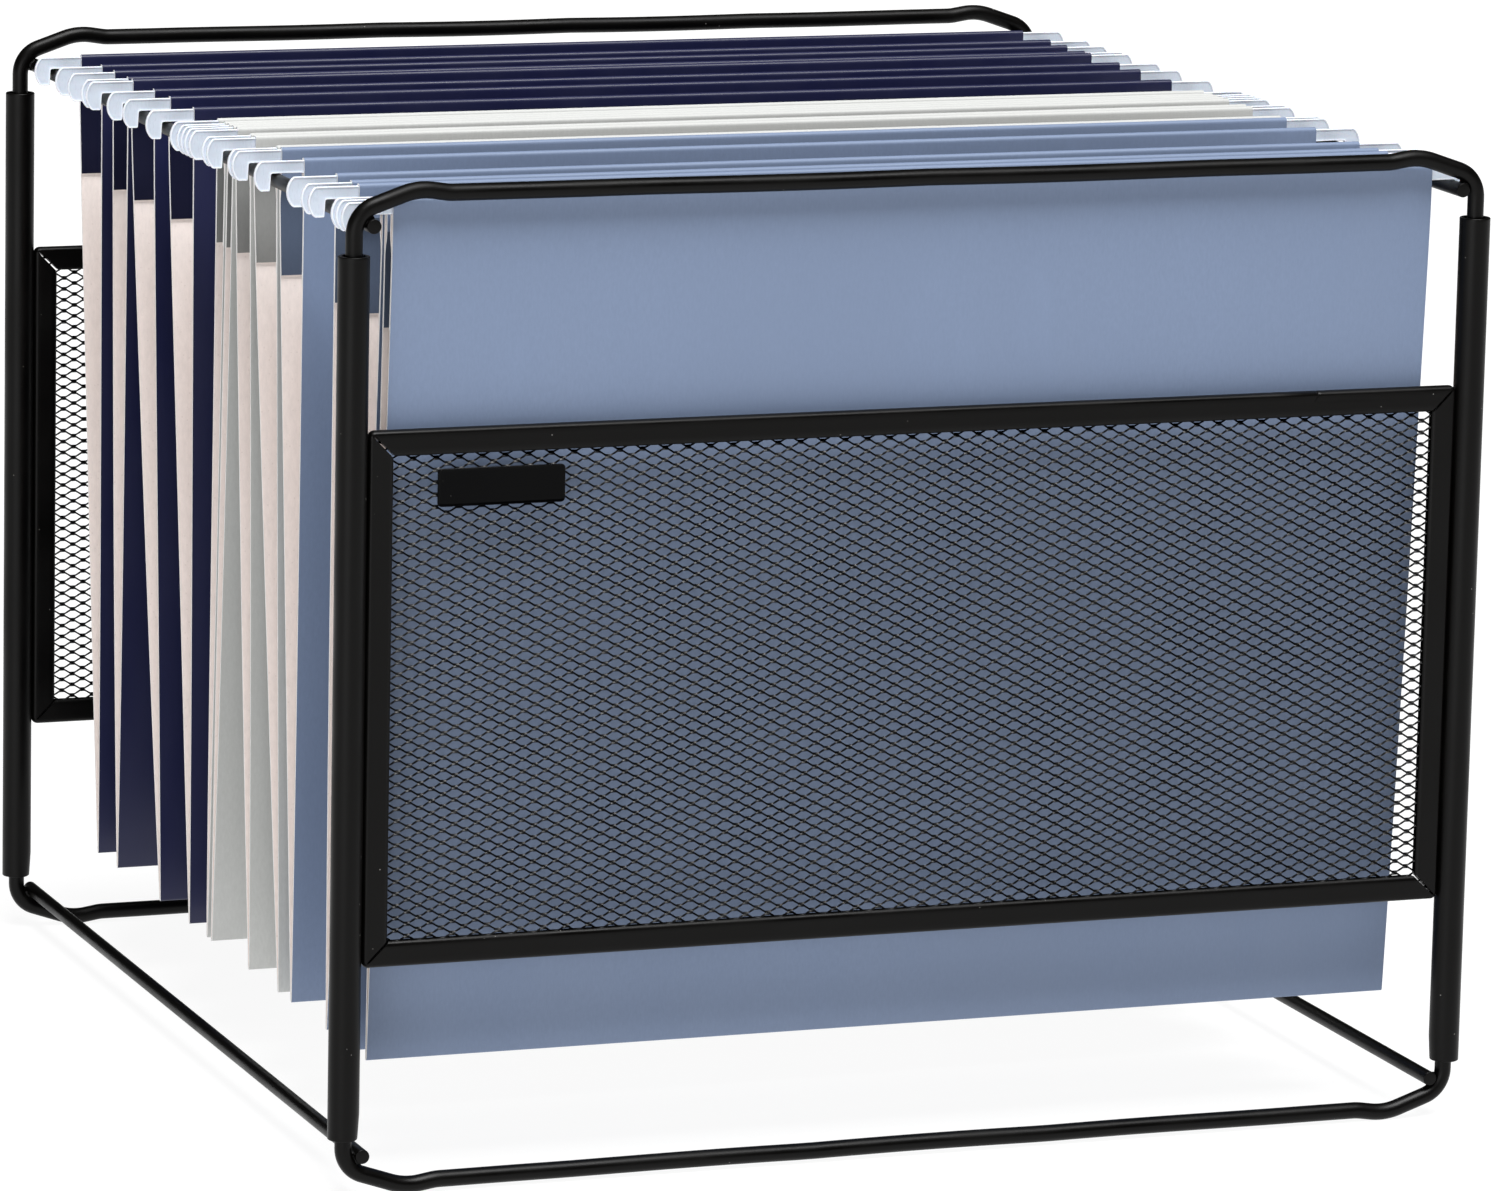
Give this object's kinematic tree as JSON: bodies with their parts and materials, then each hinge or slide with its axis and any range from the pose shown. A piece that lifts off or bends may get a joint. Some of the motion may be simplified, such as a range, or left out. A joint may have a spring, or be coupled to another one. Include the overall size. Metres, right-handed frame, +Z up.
{
  "type": "hanging file rack",
  "caption": "Open desk rack of black wire and thin tube with a mesh panel at each end, holding a row of coloured hanging folders on two rails.",
  "frame": {"origin": "on the surface the rack stands on, under the middle of its four uprights", "axes": "+Z up, +Y towards the back along the file rails, +X to the right seen from the front, which carries the small plate"},
  "size_m": [0.3306, 0.3324, 0.2727],
  "materials": {
    "black_frame": "satin",
    "black_mesh": "satin",
    "badge_black": "satin",
    "hanger_plastic": "gloss",
    "navy_card": "matt",
    "grey_card": "matt",
    "blue_card": "matt"
  },
  "bodies": {
    "rack": {"front_top_wire": "black_frame", "rear_top_wire": "black_frame", "left_file_rail": "black_frame", "right_file_rail": "black_frame", "front_bottom_wire": "black_frame", "rear_bottom_wire": "black_frame", "left_base_rod": "black_frame", "right_base_rod": "black_frame", "front_left_upright": "black_frame", "front_right_upright": "black_frame", "rear_left_upright": "black_frame", "rear_right_upright": "black_frame", "front_panel_frame": "black_frame", "rear_panel_frame": "black_frame", "front_mesh": "black_mesh", "rear_mesh": "black_mesh", "badge": "badge_black"},
    "navy_1": {"navy_1_card": "navy_card", "navy_1_front_hanger": "hanger_plastic", "navy_1_rear_hanger": "hanger_plastic"},
    "navy_2": {"navy_2_card": "navy_card", "navy_2_front_hanger": "hanger_plastic", "navy_2_rear_hanger": "hanger_plastic"},
    "navy_3": {"navy_3_card": "navy_card", "navy_3_front_hanger": "hanger_plastic", "navy_3_rear_hanger": "hanger_plastic"},
    "navy_4": {"navy_4_card": "navy_card", "navy_4_front_hanger": "hanger_plastic", "navy_4_rear_hanger": "hanger_plastic"},
    "grey_1": {"grey_1_card": "grey_card", "grey_1_front_hanger": "hanger_plastic", "grey_1_rear_hanger": "hanger_plastic"},
    "grey_2": {"grey_2_card": "grey_card", "grey_2_front_hanger": "hanger_plastic", "grey_2_rear_hanger": "hanger_plastic"},
    "grey_3": {"grey_3_card": "grey_card", "grey_3_front_hanger": "hanger_plastic", "grey_3_rear_hanger": "hanger_plastic"},
    "grey_4": {"grey_4_card": "grey_card", "grey_4_front_hanger": "hanger_plastic", "grey_4_rear_hanger": "hanger_plastic"},
    "blue_1": {"blue_1_card": "blue_card", "blue_1_front_hanger": "hanger_plastic", "blue_1_rear_hanger": "hanger_plastic"},
    "blue_2": {"blue_2_card": "blue_card", "blue_2_front_hanger": "hanger_plastic", "blue_2_rear_hanger": "hanger_plastic"},
    "blue_3": {"blue_3_card": "blue_card", "blue_3_front_hanger": "hanger_plastic", "blue_3_rear_hanger": "hanger_plastic"},
    "blue_4": {"blue_4_card": "blue_card", "blue_4_front_hanger": "hanger_plastic", "blue_4_rear_hanger": "hanger_plastic"}
  },
  "joints": [
    {"name": "navy_1_slide", "type": "slide", "parent": "rack", "child": "navy_1", "axis": [0, 1, 0], "range_m": [-0.005, 0.0193]},
    {"name": "navy_2_slide", "type": "slide", "parent": "rack", "child": "navy_2", "axis": [0, 1, 0], "range_m": [-0.0009, 0.005]},
    {"name": "navy_3_slide", "type": "slide", "parent": "rack", "child": "navy_3", "axis": [0, 1, 0], "range_m": [-0.0065, 0.0009]},
    {"name": "navy_4_slide", "type": "slide", "parent": "rack", "child": "navy_4", "axis": [0, 1, 0], "range_m": [-0.0078, 0.0065]},
    {"name": "grey_1_slide", "type": "slide", "parent": "rack", "child": "grey_1", "axis": [0, 1, 0], "range_m": [-0.0003, 0.0078]},
    {"name": "grey_2_slide", "type": "slide", "parent": "rack", "child": "grey_2", "axis": [0, 1, 0], "range_m": [-0.0006, 0.0003]},
    {"name": "grey_3_slide", "type": "slide", "parent": "rack", "child": "grey_3", "axis": [0, 1, 0], "range_m": [-0.0007, 0.0006]},
    {"name": "grey_4_slide", "type": "slide", "parent": "rack", "child": "grey_4", "axis": [0, 1, 0], "range_m": [-0.0005, 0.0007]},
    {"name": "blue_1_slide", "type": "slide", "parent": "rack", "child": "blue_1", "axis": [0, 1, 0], "range_m": [-0.0132, 0.0005]},
    {"name": "blue_2_slide", "type": "slide", "parent": "rack", "child": "blue_2", "axis": [0, 1, 0], "range_m": [-0.0016, 0.0132]},
    {"name": "blue_3_slide", "type": "slide", "parent": "rack", "child": "blue_3", "axis": [0, 1, 0], "range_m": [-0.0005, 0.0016]},
    {"name": "blue_4_slide", "type": "slide", "parent": "rack", "child": "blue_4", "axis": [0, 1, 0], "range_m": [-0.0006, 0.0005]}
  ]
}
